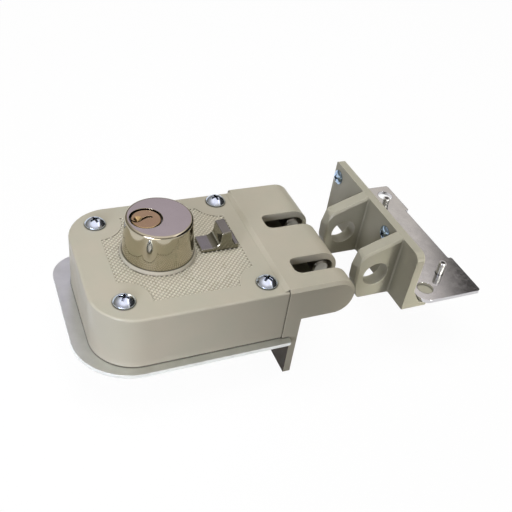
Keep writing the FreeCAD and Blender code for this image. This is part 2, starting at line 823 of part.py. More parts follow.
def guide_studs():
    """Shoulder studs under the face that guide the carrier."""
    studs = []
    under = z_carrier - SLIDE
    for x, y in studs_at:
        stud = turned([
            (0, under - stud_head_h), (stud_head_r, under - stud_head_h), (stud_head_r, under),
            (stud_r, under), (stud_r, stud_seat), (stud_thread_r, stud_seat),
            (stud_thread_r, stud_seat + stud_thread_len), (0, stud_seat + stud_thread_len),
        ])
        slot = box(-0.5, 0.5, -stud_head_r, stud_head_r, under - stud_head_h - 1, under - stud_head_h + 0.7)
        studs.append(placed(stud.cut(slot), V(x, y, 0), turn=40))
    return Part.Compound(studs)


def leaf_spring():
    """Leaf under the face that rests just above the carrier."""
    low = z_carrier_top + SLIDE
    top = z_in
    outline = [
        (leaf_pad[1], top, 0), (leaf_pad[0], top, 0), (leaf_touch[1], low + leaf_t, 0),
        (leaf_touch[0], low + leaf_t, 0), (leaf_tip, low + leaf_t * 3.4, 0),
        (leaf_tip, low + leaf_t * 2.3, 0), (leaf_touch[0], low, 0), (leaf_touch[1], low, 0),
        (leaf_pad[0], top - leaf_t, 0), (leaf_pad[1], top - leaf_t, 0),
    ]
    leaf = slab_x(outline, leaf_x0, leaf_x1)
    middle = (leaf_x0 + leaf_x1) / 2
    return leaf.cut(rod(middle, leaf_screw_y, top - 2, top + 1, leaf_screw_r + SNUG))


def leaf_spring_screw():
    """Screw of the leaf spring."""
    middle = (leaf_x0 + leaf_x1) / 2
    reach = leaf_t + leaf_screw_len - 0.2
    screw = pan_head(leaf_screw_r * 1.6, 1.2).fuse(rod(0, 0, -reach, 0.1, leaf_screw_r))
    return placed(screw, V(middle, leaf_screw_y, z_in - leaf_t), V(0, 0, -1))


def slide_button():
    """Chrome slide button: flat base, thumb ridge with hollow flanks, and the stem below."""
    z0 = z_face + button_lift
    base = z0 + button_base_t
    near = button_y - button_w / 2

    def at(x, z):
        """Point of the profile on the near side."""
        return V(x, near, z)

    top_left = z0 + ridge_top_left
    top_right = z0 + ridge_top_right
    left_x = ridge_x0 + ridge_lean_left
    right_x = ridge_x1 - ridge_lean_right
    lip = z0 + lip_h
    flat_end = at(ridge_x0 - hollow_left, base)
    left_foot = at(ridge_x0, base + hollow_left_h)
    left_shoulder = at(left_x, top_left - ridge_round)
    left_top = at(left_x + ridge_round, top_left)
    right_top = at(right_x - ridge_round, top_right)
    right_shoulder = at(right_x, top_right - ridge_round)
    right_foot = at(ridge_x1, lip + hollow_right_h)
    lip_start = at(ridge_x1 + hollow_right, lip)
    lip_end = at(button_x1, lip)
    edges = [
        Part.LineSegment(at(button_x0, z0), at(button_x0, base)).toShape(),
        Part.LineSegment(at(button_x0, base), flat_end).toShape(),
        Part.Arc(flat_end, at(ridge_x0 - hollow_left * 0.27, base + hollow_left_h * 0.32), left_foot).toShape(),
        Part.LineSegment(left_foot, left_shoulder).toShape(),
        Part.Arc(left_shoulder, at(left_x + ridge_round * 0.25, top_left - ridge_round * 0.2),
                 left_top).toShape(),
        Part.LineSegment(left_top, right_top).toShape(),
        Part.Arc(right_top, at(right_x - ridge_round * 0.25, top_right - ridge_round * 0.2),
                 right_shoulder).toShape(),
        Part.LineSegment(right_shoulder, right_foot).toShape(),
        Part.Arc(right_foot, at(ridge_x1 + hollow_right * 0.35, lip + hollow_right_h * 0.38),
                 lip_start).toShape(),
        Part.LineSegment(lip_start, lip_end).toShape(),
        Part.LineSegment(lip_end, at(button_x1, z0)).toShape(),
        Part.LineSegment(at(button_x1, z0), at(button_x0, z0)).toShape(),
    ]
    body = Part.Face(Part.Wire(edges)).extrude(V(0, button_w, 0))
    rim = edges_where(body, lambda c: abs(abs(c.y - button_y) - button_w / 2) < 1e-4 and c.z > z0 + 0.1)
    body = body.makeChamfer(BREAK * 0.8, rim)
    stem_bottom = z_in - lock_plate_gap
    stem = box(stem_x0, stem_x1, stem_near, stem_far, stem_bottom, z0 + 0.5)
    middle = (stem_x0 + stem_x1) / 2
    hole = rod(middle, button_y, stem_bottom - 1, z0 + 1.0, slide_screw_r + SNUG)
    return body.fuse(stem).cut(hole)


def slide_lock_plate():
    """Plate under the face that the button carries, with the tab that blocks the carrier."""
    z1 = z_in - lock_plate_gap
    z0 = z1 - lock_plate_t
    tab_x1 = tab_x0 + tab_t
    plate = box(lock_plate_x0, tab_x1, button_y - lock_plate_w / 2, button_y + lock_plate_w / 2, z0, z1)
    tab = box(tab_x0, tab_x1, stem_near, stem_far, z_carrier_top - tab_reach, z0 + 1)
    middle = (stem_x0 + stem_x1) / 2
    return plate.fuse(tab).cut(rod(middle, button_y, z0 - 1, z1 + 1, slide_screw_r + SNUG)).removeSplitter()


def slide_screw():
    """Screw that holds the inner plate to the button's stem."""
    seat = z_in - lock_plate_gap - lock_plate_t
    middle = (stem_x0 + stem_x1) / 2
    reach = z_face + button_lift + 0.8 - seat
    screw = pan_head(slide_screw_head_r, slide_screw_head_h).fuse(rod(0, 0, -reach, 0.1, slide_screw_r))
    return placed(screw, V(middle, button_y, seat), V(0, 0, -1))


def strike_arm(near_y):
    """Arm of the strike with its eye, sloping down to a tip with a bevelled near edge and top corner."""
    tip = strike_x - arm_len
    far_y = near_y + arm_t
    outline = [
        (strike_x + 1, strike_bottom, 0), (tip + arm_heel[0], strike_bottom, arm_heel[1]),
        (tip + arm_chin[0], bolt_z + arm_chin[1], 0), (tip + arm_brow[0], bolt_z + arm_brow[1], 1.5),
        (tip + arm_shoulder[0], bolt_z + arm_shoulder[1], 3.0),
        (strike_x - arm_knee[0], bolt_z + arm_knee[1], 0),
        (strike_x, strike_top, 0), (strike_x + 1, strike_top, 0),
    ]
    arm = slab_y(outline, near_y, far_y)
    near_tip = edges_where(arm, lambda c: c.x < tip + 0.6 and abs(c.y - near_y) < 1e-4
                           and bolt_z - 2 < c.z < bolt_z + 8)
    arm = arm.makeChamfer(arm_edge, near_tip)
    bevel_at = V(tip, far_y, bolt_z + arm_bevel_low)
    to_near = V(tip + arm_edge, near_y, bolt_z + arm_bevel_near) - bevel_at
    to_top = V(tip + arm_bevel_top[0], far_y, bolt_z + arm_bevel_top[1]) - bevel_at
    outward = to_near.cross(to_top).normalize()
    bevel = placed(box(-BLOCK, BLOCK, -BLOCK, BLOCK, 0, BLOCK), bevel_at, outward)
    return arm.cut([bevel, rod_y(eye_x, bolt_z, near_y - 1, far_y + 1, eye_r)])


def arm_root(y, side):
    """Small web in the corner between the upright and one side of an arm."""
    outline = [
        (strike_x - arm_root_r, y, 0), (strike_x, y + side * arm_root_r, 0),
        (strike_x + 0.5, y + side * arm_root_r, 0), (strike_x + 0.5, y - side * 0.5, 0),
        (strike_x - arm_root_r, y - side * 0.5, 0),
    ]
    return slab(outline, strike_bottom, strike_top - arm_root_r / 2)


def strike_casting():
    """Painted strike: upright plate, two arms with eyes, and a foot with a sloping web."""
    back = strike_x + strike_t
    upright = slab_x([
        (-strike_near, strike_bottom, 0), (strike_far, strike_bottom, 0),
        (strike_far, strike_top, 1.0), (-strike_near, strike_top, strike_corner_r),
    ], strike_x, back)
    web = slab_y([
        (back - 1, strike_bottom, 0), (back + web_reach, strike_bottom, 0),
        (back + web_reach, foot_top, 0), (back, foot_top + web_rise, 0), (back - 1, foot_top + web_rise, 0),
    ], -strike_near, strike_far)
    foot = slab([
        (strike_x, -strike_near, 0), (strike_x + foot_near_reach, -strike_near, 0),
        (strike_x + foot_near_reach + 3, -strike_near + foot_near_step, 0),
        (strike_x + foot_reach, -strike_near + foot_near_step, 2.0),
        (strike_x + foot_reach, strike_far, 2.0), (strike_x, strike_far, 0),
    ], strike_bottom, foot_top)
    added = [web, foot]
    for near_y in (arm_near, arm_near - slot_pitch):
        added += [strike_arm(near_y), arm_root(near_y, -1), arm_root(near_y + arm_t, 1)]
    casting = upright.fuse(added).removeSplitter()
    cuts = []
    for y, z, _ in face_screws_at:
        cuts.append(rod_x(y, z, strike_x - 1, back + 1, face_screw_r + THROUGH))
    for x, y in clamp_screws_at:
        sink = turned([
            (0, strike_bottom - 1), (clamp_head_r + THROUGH, strike_bottom - 1),
            (clamp_head_r + THROUGH, strike_bottom),
            (clamp_screw_r + THROUGH, strike_bottom + clamp_head_h),
            (clamp_screw_r + THROUGH, foot_top + 1), (0, foot_top + 1),
        ])
        cuts.append(placed(sink, V(strike_x + x, y, 0)))
    return casting.cut(cuts)


def strike_backing_plate():
    """Zinc-plated plate on the strike's foot, with an edge notch and two holes."""
    left = strike_x + strike_t + web_reach + back_left_gap
    right = strike_x + back_right
    outline = [
        (left, -back_near, back_left_r), (right, -back_near, back_corner_r),
        (right, back_notch_y[0], 0.8), (right - back_notch, back_notch_y[0], 0.8),
        (right - back_notch, back_notch_y[1], 0.8), (right, back_notch_y[1], 0.8),
        (right, back_far, back_corner_r), (left, back_far, back_left_r),
    ]
    plate = slab(outline, foot_top, foot_top + back_t)
    holes = [rod(strike_x + x, y, foot_top - 1, foot_top + back_t + 1, back_hole_r) for x, y in back_holes_at]
    for x, y in clamp_screws_at:
        holes.append(rod(strike_x + x, y, foot_top - 1, foot_top + back_t + 1, clamp_screw_r + THROUGH))
    return plate.cut(holes)


def strike_face_screws():
    """Two pan-head screws in the strike's upright face."""
    screws = []
    for y, z, turn in face_screws_at:
        screw = pan_head(face_screw_head_r, face_screw_head_h)
        screw = screw.fuse(rod(0, 0, -strike_t, 0.1, face_screw_r))
        screws.append(placed(screw, V(strike_x, y, z), V(-1, 0, 0), turn))
    return Part.Compound(screws)


def strike_clamp_screws():
    """Two countersunk machine screws from under the foot that stand up through the backing plate."""
    screws = []
    rise = foot_top + back_t
    low = strike_bottom + SNUG
    for x, y in clamp_screws_at:
        head = turned([
            (0, low), (clamp_head_r, low), (clamp_screw_r, strike_bottom + clamp_head_h),
            (clamp_screw_r, rise), (0, rise),
        ])
        thread = threaded_rod(clamp_screw_r, rise - 0.1, rise + clamp_screw_rise, thread_pitch, thread_depth)
        cup = rod(0, 0, rise + clamp_screw_rise - 0.8, rise + clamp_screw_rise + 1, clamp_screw_r * 0.55)
        slot = box(-clamp_head_r, clamp_head_r, -clamp_slot_w / 2, clamp_slot_w / 2, low - 1,
                   low + clamp_slot_depth)
        screw = head.fuse(thread).cut([cup, slot])
        screws.append(placed(screw, V(strike_x + x, y, 0)))
    return Part.Compound(screws)


PIECES = {
    "case_shell": case_shell,
    "mounting_plate": mounting_plate,
    "case_screws": case_screws,
    "cylinder_shell": cylinder_shell,
    "cylinder_plug": cylinder_plug,
    "bottom_pins": bottom_pins,
    "driver_pins": driver_pins,
    "pin_springs": pin_springs,
    "plug_clip": plug_clip,
    "tailpiece": tailpiece,
    "retaining_bar": retaining_bar,
    "retaining_screws": retaining_screws,
    "drive_hub": drive_hub,
    "cam_pin": cam_pin,
    "bolt_carrier": bolt_carrier,
    "bolt_upper": lambda: bolt(bolt_tail),
    "bolt_lower": lambda: bolt(bolt_tail - slot_pitch),
    "bolt_cross_pins": bolt_cross_pins,
    "guide_studs": guide_studs,
    "leaf_spring": leaf_spring,
    "leaf_spring_screw": leaf_spring_screw,
    "slide_button": slide_button,
    "slide_lock_plate": slide_lock_plate,
    "slide_screw": slide_screw,
    "strike_casting": strike_casting,
    "strike_backing_plate": strike_backing_plate,
    "strike_face_screws": strike_face_screws,
    "strike_clamp_screws": strike_clamp_screws,
}


def main():
    """Build every piece and write one STEP file each."""
    os.makedirs("parts", exist_ok=True)
    for name, build in PIECES.items():
        shape = build()
        shape.exportStep(os.path.join("parts", name + ".step"))
        print(name, "solids", len(shape.Solids), "volume", round(shape.Volume, 1), "valid", shape.isValid())


if __name__ == "__main__":
    main()
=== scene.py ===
"""Studio scene of a painted rim lock with its strike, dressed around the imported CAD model."""

import json
import logging
import math
from dataclasses import dataclass, field
from enum import Enum

import bmesh
import bpy
from mathutils import Matrix, Vector


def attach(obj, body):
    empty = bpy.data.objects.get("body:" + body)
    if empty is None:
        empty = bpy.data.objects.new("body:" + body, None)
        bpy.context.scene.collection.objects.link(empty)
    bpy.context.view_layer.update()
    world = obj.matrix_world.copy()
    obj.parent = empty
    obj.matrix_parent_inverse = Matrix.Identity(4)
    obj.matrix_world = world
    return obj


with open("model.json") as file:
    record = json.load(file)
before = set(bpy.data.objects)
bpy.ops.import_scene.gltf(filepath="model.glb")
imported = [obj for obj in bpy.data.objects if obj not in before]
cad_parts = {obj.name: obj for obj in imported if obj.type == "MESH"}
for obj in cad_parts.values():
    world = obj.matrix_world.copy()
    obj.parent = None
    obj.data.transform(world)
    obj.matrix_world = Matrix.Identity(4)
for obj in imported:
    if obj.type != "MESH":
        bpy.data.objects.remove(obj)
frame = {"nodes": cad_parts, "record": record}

LOG = logging.getLogger("rim_lock")
MM = 0.001
WHITE = "FFFFFF"

Socket = bpy.types.NodeSocket
Value = Socket | float | tuple[float, ...] | Vector

# Sockets of a Mix node that is set to colours: its share, its two colours and its result.
SHARE, FIRST, SECOND, MIXED = 0, 6, 7, 2
# Rays that feel out a rounded edge, and rays that feel out a nook.
EDGE_SAMPLES = 6
NOOK_SAMPLES = 8
# Radians that the wave texture runs through in one unit of its scale.
WAVE_RADIANS = 20
# Span of a noise over which one tone gives way to the other, for colour and for gloss.
TONE_DRIFT = {"From Min": 0.35, "From Max": 0.65}
GLOSS_DRIFT = {"From Min": 0.3, "From Max": 0.7}
# Size of the clouds in the gloss against those in the colour, and the least roughness in them.
GLOSS_CLOUD_SHARE = 0.4
LEAST_ROUGHNESS = 0.01
# Cosine between the rounded and the flat normal where the painted edge highlight, with some wear, starts
# and where it is full.
EDGE_WEAR_AND_HIGHLIGHT = {"From Min": 0.995, "From Max": 0.80, "To Min": 0.0}


def linear(code: str) -> tuple[float, float, float, float]:
    """Turns an sRGB hex colour into linear light.

    Args:
        code: Six hex digits.

    Returns:
        Linear red, green and blue, and an alpha of one.
    """
    channels = [int(code[i:i + 2], 16) / 255 for i in (0, 2, 4)]
    red, green, blue = [c / 12.92 if c <= 0.04045 else ((c + 0.055) / 1.055) ** 2.4 for c in channels]
    return red, green, blue, 1.0


def per_mm(millimetres: float) -> float:
    """Texture scale at which one cell of a pattern is this many millimetres."""
    return 1.0 / (millimetres * MM)


def add_node(tree: bpy.types.NodeTree, kind: str, inputs: dict[int | str, Value] | None = None,
             **settings: object) -> bpy.types.Node:
    """Adds one node with its settings, values and links.

    Args:
        tree: Node tree that gets the node.
        kind: Node type.
        inputs: Input name or index to a value, or to the socket that feeds it.
        **settings: Attributes of the node.

    Returns:
        The new node.
    """
    node = tree.nodes.new(kind)
    for name, value in settings.items():
        setattr(node, name, value)
    for name, value in (inputs or {}).items():
        if isinstance(value, Socket):
            tree.links.new(value, node.inputs[name])
        else:
            node.inputs[name].default_value = value
    return node


class EdgeCue(Enum):
    """How strongly a finish lightens its rounded edges with a painted highlight and some wear."""

    NONE = 0.0
    SOFT = 0.45
    STRONG = 0.75
    CLEAR = 1.0


@dataclass(frozen=True)
class Finish:
    """A surface finish with the values that every finish of the lock needs.

    The two colours drift into each other in clouds of tone_mm, and the edge colour is painted on rounded
    edges as a highlight, with some wear.
    Painted shade, with some grime, darkens nooks of grime_and_shade_mm: none where a point is as open as
    clean_and_unshaded_openness, all of it at grimed_and_shaded_openness. With grime_and_shade_alone, only
    the piece's own nooks count.
    """

    name: str
    colour: str
    second_colour: str
    roughness: float
    metallic: float = 0.0
    edge_round_mm: float = 0.35
    edge_cue: EdgeCue = EdgeCue.SOFT
    edge_colour: str = WHITE
    tone_mm: float = 18.0
    roughness_spread: float = 0.06
    grain_mm: float = 0.5
    grain_height_mm: float = 0.004
    grain_stretch: tuple[float, float, float] = (1.0, 1.0, 1.0)
    grime_and_shade: float = 0.8
    grime_and_shade_mm: float = 1.2
    grime_and_shade_colour: str = "1C1B16"
    grime_and_shade_alone: bool = False
    clean_and_unshaded_openness: float = 0.80
    grimed_and_shaded_openness: float = 0.42
    specular: float = 0.5

    def material(self) -> bpy.types.Material:
        """Builds the finish as a node material on Object coordinates.

        Returns:
            The new material.
        """
        material = bpy.data.materials.new(self.name)
        material.use_nodes = True
        tree = material.node_tree
        tree.nodes.clear()
        place = add_node(tree, "ShaderNodeTexCoord").outputs["Object"]
        rounded = add_node(tree, "ShaderNodeBevel", {"Radius": self.edge_round_mm * MM},
                           samples=EDGE_SAMPLES)
        normal = self.grain(tree, place, rounded.outputs["Normal"])
        shader = add_node(tree, "ShaderNodeBsdfPrincipled", {
            "Base Color": self.tint(tree, place, rounded.outputs["Normal"]),
            "Roughness": self.gloss(tree, place),
            "Metallic": self.metallic,
            "Specular IOR Level": self.specular,
            "Normal": normal,
        })
        add_node(tree, "ShaderNodeOutputMaterial", {"Surface": shader.outputs["BSDF"]})
        return material

    def tint(self, tree: bpy.types.NodeTree, place: Socket, rounded: Socket) -> Socket:
        """Slow drift between the two colours, with a painted highlight, and some wear, on rounded edges.

        Args:
            tree: Node tree of the material.
            place: Object coordinates.
            rounded: Normal with rounded edges.

        Returns:
            Colour socket.
        """
        cloud = add_node(tree, "ShaderNodeTexNoise", {
            "Vector": place, "Scale": per_mm(self.tone_mm), "Detail": 3.0, "Roughness": 0.55,
        })
        drift = add_node(tree, "ShaderNodeMapRange", {"Value": cloud.outputs["Fac"], **TONE_DRIFT})
        base = add_node(tree, "ShaderNodeMix", {
            SHARE: drift.outputs["Result"], FIRST: linear(self.colour), SECOND: linear(self.second_colour),
        }, data_type="RGBA")
        if self.edge_cue is EdgeCue.NONE:
            return self.grimed_and_shaded(tree, base.outputs[MIXED])
        # Painted highlight, with some wear, on rounded edges.
        flat = add_node(tree, "ShaderNodeNewGeometry").outputs["Normal"]
        match = add_node(tree, "ShaderNodeVectorMath", {0: rounded, 1: flat}, operation="DOT_PRODUCT")
        edge = add_node(tree, "ShaderNodeMapRange", {
            "Value": match.outputs["Value"], "To Max": self.edge_cue.value, **EDGE_WEAR_AND_HIGHLIGHT,
        })
        worn_and_lit = add_node(tree, "ShaderNodeMix", {
            SHARE: edge.outputs["Result"], FIRST: base.outputs[MIXED], SECOND: linear(self.edge_colour),
        }, data_type="RGBA")
        return self.grimed_and_shaded(tree, worn_and_lit.outputs[MIXED])

    def grimed_and_shaded(self, tree: bpy.types.NodeTree, colour: Socket) -> Socket:
        """Painted shade, with some grime, darkening corners, recesses and joints.

        Args:
            tree: Node tree of the material.
            colour: Clean colour.

        Returns:
            Colour socket.
        """
        # Painted shade, with some grime, wherever ambient occlusion finds a nook.
        nook = add_node(tree, "ShaderNodeAmbientOcclusion", {"Distance": self.grime_and_shade_mm * MM},
                        samples=NOOK_SAMPLES, only_local=self.grime_and_shade_alone)
        amount = add_node(tree, "ShaderNodeMapRange", {
            "Value": nook.outputs["AO"], "From Min": self.clean_and_unshaded_openness,
            "From Max": self.grimed_and_shaded_openness, "To Max": self.grime_and_shade,
        })
        return add_node(tree, "ShaderNodeMix", {
            SHARE: amount.outputs["Result"], FIRST: colour, SECOND: linear(self.grime_and_shade_colour),
        }, data_type="RGBA").outputs[MIXED]

    def gloss(self, tree: bpy.types.NodeTree, place: Socket) -> Socket:
        """Roughness that wanders a little, as handling and plating leave it.

        Args:
            tree: Node tree of the material.
            place: Object coordinates.

        Returns:
            Roughness socket.
        """
        wander = add_node(tree, "ShaderNodeTexNoise", {
            "Vector": place, "Scale": per_mm(self.tone_mm * GLOSS_CLOUD_SHARE), "Detail": 4.0,
        })
        return add_node(tree, "ShaderNodeMapRange", {
            "Value": wander.outputs["Fac"], **GLOSS_DRIFT,
            "To Min": max(LEAST_ROUGHNESS, self.roughness - self.roughness_spread),
            "To Max": self.roughness + self.roughness_spread,
        }).outputs["Result"]

    def grain(self, tree: bpy.types.NodeTree, place: Socket, normal: Socket) -> Socket:
        """Fine relief of the surface on top of the rounded edges.

        Args:
            tree: Node tree of the material.
            place: Object coordinates.
            normal: Normal with rounded edges.

        Returns:
            Normal socket.
        """
        stretched = add_node(tree, "ShaderNodeMapping", {"Vector": place, "Scale": self.grain_stretch})
        relief = add_node(tree, "ShaderNodeTexNoise", {
            "Vector": stretched.outputs["Vector"], "Scale": per_mm(self.grain_mm), "Detail": 2.0,
        })
        return add_node(tree, "ShaderNodeBump", {
            "Height": relief.outputs["Fac"], "Strength": 1.0,
            "Distance": self.grain_height_mm * MM, "Normal": normal,
        }).outputs["Normal"]


@dataclass(frozen=True)
class TurnedFinish(Finish):
    """A turned metal, with the tool's rings about an upright axis.

    ring_radian_mm is the length of one radian of their wave, so the rings lie 2.83 mm apart.
    """

    axis_mm: tuple[float, float] = (0.0, 0.0)
    ring_radian_mm: float = 0.45

    def grain(self, tree: bpy.types.NodeTree, place: Socket, normal: Socket) -> Socket:
        """Rings left by the lathe, a little uneven.

        Args:
            tree: Node tree of the material.
            place: Object coordinates.
            normal: Normal with rounded edges.

        Returns:
            Normal socket.
        """
        centred = add_node(tree, "ShaderNodeMapping", {
            "Vector": place, "Location": (-self.axis_mm[0] * MM, -self.axis_mm[1] * MM, 0.0),
        })
        rings = add_node(tree, "ShaderNodeTexWave", {
            "Vector": centred.outputs["Vector"], "Scale": per_mm(self.ring_radian_mm) / WAVE_RADIANS,
            "Distortion": 0.6, "Detail": 1.0,
        }, wave_type="RINGS", rings_direction="Z")
        return add_node(tree, "ShaderNodeBump", {
            "Height": rings.outputs["Fac"], "Strength": 1.0,
            "Distance": self.grain_height_mm * MM, "Normal": normal,
        }).outputs["Normal"]


@dataclass(frozen=True)
class CaseEnamel(Finish):
    """Enamel of the case, with painted shade on the face where the flange bears on the door's edge."""

    flange_shade_colour: str = "33291A"
    flange_shade_right_mm: float = 51.5
    flange_shade_top_mm: float = -0.1

    def tint(self, tree: bpy.types.NodeTree, place: Socket, rounded: Socket) -> Socket:
        """Enamel colour with painted shade on the bearing face of the flange.

        Args:
            tree: Node tree of the material.
            place: Object coordinates.
            rounded: Normal with rounded edges.

        Returns:
            Colour socket.
        """
        coated = super().tint(tree, place, rounded)
        # Painted shade, near black, on the flange's face below the plate.
        axes = add_node(tree, "ShaderNodeSeparateXYZ", {"Vector": place})
        left = add_node(tree, "ShaderNodeMath", {0: axes.outputs["X"], 1: self.flange_shade_right_mm * MM},
                        operation="LESS_THAN")
        below = add_node(tree, "ShaderNodeMath", {0: axes.outputs["Z"], 1: self.flange_shade_top_mm * MM},
                         operation="LESS_THAN")
        flange_shade = add_node(tree, "ShaderNodeMath", {0: left.outputs["Value"], 1: below.outputs["Value"]},
                        operation="MULTIPLY")
        return add_node(tree, "ShaderNodeMix", {
            SHARE: flange_shade.outputs["Value"], FIRST: coated, SECOND: linear(self.flange_shade_colour),
        }, data_type="RGBA").outputs[MIXED]


@dataclass(frozen=True)
class KnurlEnamel(Finish):
    """Enamel of the knurled panel, with a painted highlight on the points and painted shade between them.
    """

    point_highlight_colour: str = "E0DBC8"
    point_highlight_share: float = 0.7
    valley_shade_colour: str = "706D58"
    valley_shade_share: float = 0.8
    valley_mm: float = 29.10
    middle_mm: float = 29.32
    point_mm: float = 29.58

    def tint(self, tree: bpy.types.NodeTree, place: Socket, rounded: Socket) -> Socket:
        """Colour that follows the height of the points: a painted highlight on them, painted shade in the
        valleys.

        Args:
            tree: Node tree of the material.
            place: Object coordinates.
            rounded: Normal with rounded edges.

        Returns:
            Colour socket.
        """
        coated = super().tint(tree, place, rounded)
        height = add_node(tree, "ShaderNodeSeparateXYZ", {"Vector": place}).outputs["Z"]
        depth = add_node(tree, "ShaderNodeMapRange", {
            "Value": height, "From Min": self.middle_mm * MM, "From Max": self.valley_mm * MM,
            "To Max": self.valley_shade_share,
        })
        rise = add_node(tree, "ShaderNodeMapRange", {
            "Value": height, "From Min": self.middle_mm * MM, "From Max": self.point_mm * MM,
            "To Max": self.point_highlight_share,
        })
        valley_shaded = add_node(tree, "ShaderNodeMix", {
            SHARE: depth.outputs["Result"], FIRST: coated, SECOND: linear(self.valley_shade_colour),
        }, data_type="RGBA")
        return add_node(tree, "ShaderNodeMix", {
            SHARE: rise.outputs["Result"], FIRST: valley_shaded.outputs[MIXED], SECOND: linear(self.point_highlight_colour),
        }, data_type="RGBA").outputs[MIXED]


# Stoved enamel on die-cast zinc: a thin satin coat that levels in a faint orange peel, with painted shade
# along its joints and on the flange's bearing face.
STOVED_ENAMEL = CaseEnamel(
    name="stoved_enamel_on_die_cast_zinc", colour="B6B09E", second_colour="B1AE9C", roughness=0.36,
    edge_round_mm=0.45, edge_cue=EdgeCue.STRONG, edge_colour="DAD5C2", tone_mm=22.0,
    grain_mm=0.9, grain_height_mm=0.006, grime_and_shade=0.85, grime_and_shade_mm=0.9, grime_and_shade_colour="2A2818", specular=0.35,
    clean_and_unshaded_openness=0.93, grimed_and_shaded_openness=0.60,
)
# The same enamel on the knurled panel, glossier where it is drawn thin over the points, with a painted
# highlight on the points and painted shade between them.
KNURL_ENAMEL = KnurlEnamel(
    name="stoved_enamel_on_cast_points", colour="B6B09E", second_colour="B1AE9C", roughness=0.3,
    edge_round_mm=0.05, edge_cue=EdgeCue.NONE, tone_mm=22.0, grain_mm=0.9, grain_height_mm=0.002,
    grime_and_shade=0.75, grime_and_shade_mm=1.1, grime_and_shade_colour="2A2818",
)
# The same enamel on the strike, painted a little darker and greener as shade, with painted shade deep in
# its bores and inner corners.
SHADED_ENAMEL = Finish(
    name="stoved_enamel_on_die_cast_strike", colour="B2AF9E", second_colour="ACAA98", roughness=0.36,
    edge_round_mm=0.45, edge_cue=EdgeCue.STRONG, edge_colour="DAD5C2", tone_mm=22.0, specular=0.35,
    grain_mm=0.9, grain_height_mm=0.006, grime_and_shade=0.4, grime_and_shade_mm=8.0, grime_and_shade_colour="2A2A1C", grime_and_shade_alone=True,
)
# Bright nickel-chrome plate: mirror-like, with only a breath of haze; its warm olive tint is a painted
# reflection of the enamel round it, and the dark ring about the plug is painted shade.
CHROME_PLATE = Finish(
    name="polished_chrome_plate", colour="C0B9A4", second_colour="BCB5A0", roughness=0.07, metallic=1.0,
    edge_round_mm=0.3, edge_cue=EdgeCue.NONE, tone_mm=9.0, roughness_spread=0.02,
    grain_mm=0.35, grain_height_mm=0.0006, grime_and_shade=0.97, grime_and_shade_mm=0.9, grime_and_shade_colour="080706",
)
# Dull nickel plate on the slide button: darker than chrome, its reflections a little spread.
DULL_NICKEL = Finish(
    name="dull_nickel_plate", colour="918F80", second_colour="8A887A", roughness=0.16, metallic=1.0,
    edge_round_mm=0.4, edge_cue=EdgeCue.SOFT, edge_colour="F4EEE4", tone_mm=6.0, roughness_spread=0.04,
    grain_mm=0.35, grain_height_mm=0.001, grime_and_shade=0.92, grime_and_shade_mm=1.6, grime_and_shade_colour="0A0908",
)
# Cold-rolled sheet with clear zinc plate: soft cloudy reflections along the rolling direction.
ZINC_SHEET = Finish(
    name="rolled_sheet_with_clear_zinc_plate", colour="E8ECE9", second_colour="E0E4E1", roughness=0.36,
    metallic=1.0, edge_round_mm=0.2, edge_cue=EdgeCue.CLEAR, edge_colour="F2F2F4", tone_mm=6.0,
    roughness_spread=0.05, grain_mm=0.5, grain_height_mm=0.0015, grain_stretch=(1.0, 0.25, 1.0),
    grime_and_shade=0.9, grime_and_shade_mm=1.0, grime_and_shade_colour="1E1E18",
)
# Sheared strip with bright zinc plate: glossier, its rolled grain broken into small specks.
ZINC_STRIP = Finish(
    name="sheared_strip_with_bright_zinc_plate", colour="DEDEE0", second_colour="D6D6D9", roughness=0.11,
    metallic=1.0, edge_round_mm=0.35, edge_cue=EdgeCue.NONE, tone_mm=5.0, roughness_spread=0.03,
    grain_mm=0.8, grain_height_mm=0.004, grime_and_shade=0.85, grime_and_shade_mm=1.6, grime_and_shade_colour="1E1E1C",
)
# Headed screws with blue-white zinc: bright and cool, with soft forged rounds.
ZINC_SCREW = Finish(
    name="cold_headed_screw_with_blue_zinc", colour="E8F2FF", second_colour="DAE6FA", roughness=0.17,
    metallic=1.0, edge_round_mm=0.25, edge_cue=EdgeCue.NONE, tone_mm=2.5, roughness_spread=0.05,
    grain_mm=0.4, grain_height_mm=0.002, grime_and_shade=0.95, grime_and_shade_mm=1.3, grime_and_shade_colour="0A1018",
)
# The strike's screws: the same blue zinc, painted darker as a painted reflection of the dim side they face.
SHADED_BLUE_SCREW = Finish(
    name="cold_headed_screw_with_shaded_blue_zinc", colour="C0D8F2", second_colour="AEC8E4", roughness=0.12,
    metallic=1.0, edge_round_mm=0.25, edge_cue=EdgeCue.NONE, tone_mm=2.5, roughness_spread=0.04,
    grain_mm=0.4, grain_height_mm=0.002, grime_and_shade=0.95, grime_and_shade_mm=1.3, grime_and_shade_colour="0A1018",
)
# Rolled screw thread with clear zinc: pale crests, and painted shade in the roots.
ROLLED_THREAD = Finish(
    name="rolled_thread_with_clear_zinc", colour="F6F6F4", second_colour="ECECEA", roughness=0.34,
    metallic=1.0, edge_round_mm=0.12, edge_cue=EdgeCue.NONE, tone_mm=2.5, roughness_spread=0.05,
    grain_mm=0.3, grain_height_mm=0.001, grime_and_shade=0.95, grime_and_shade_mm=0.7, grime_and_shade_colour="14140F",
    clean_and_unshaded_openness=0.96, grimed_and_shaded_openness=0.64,
)
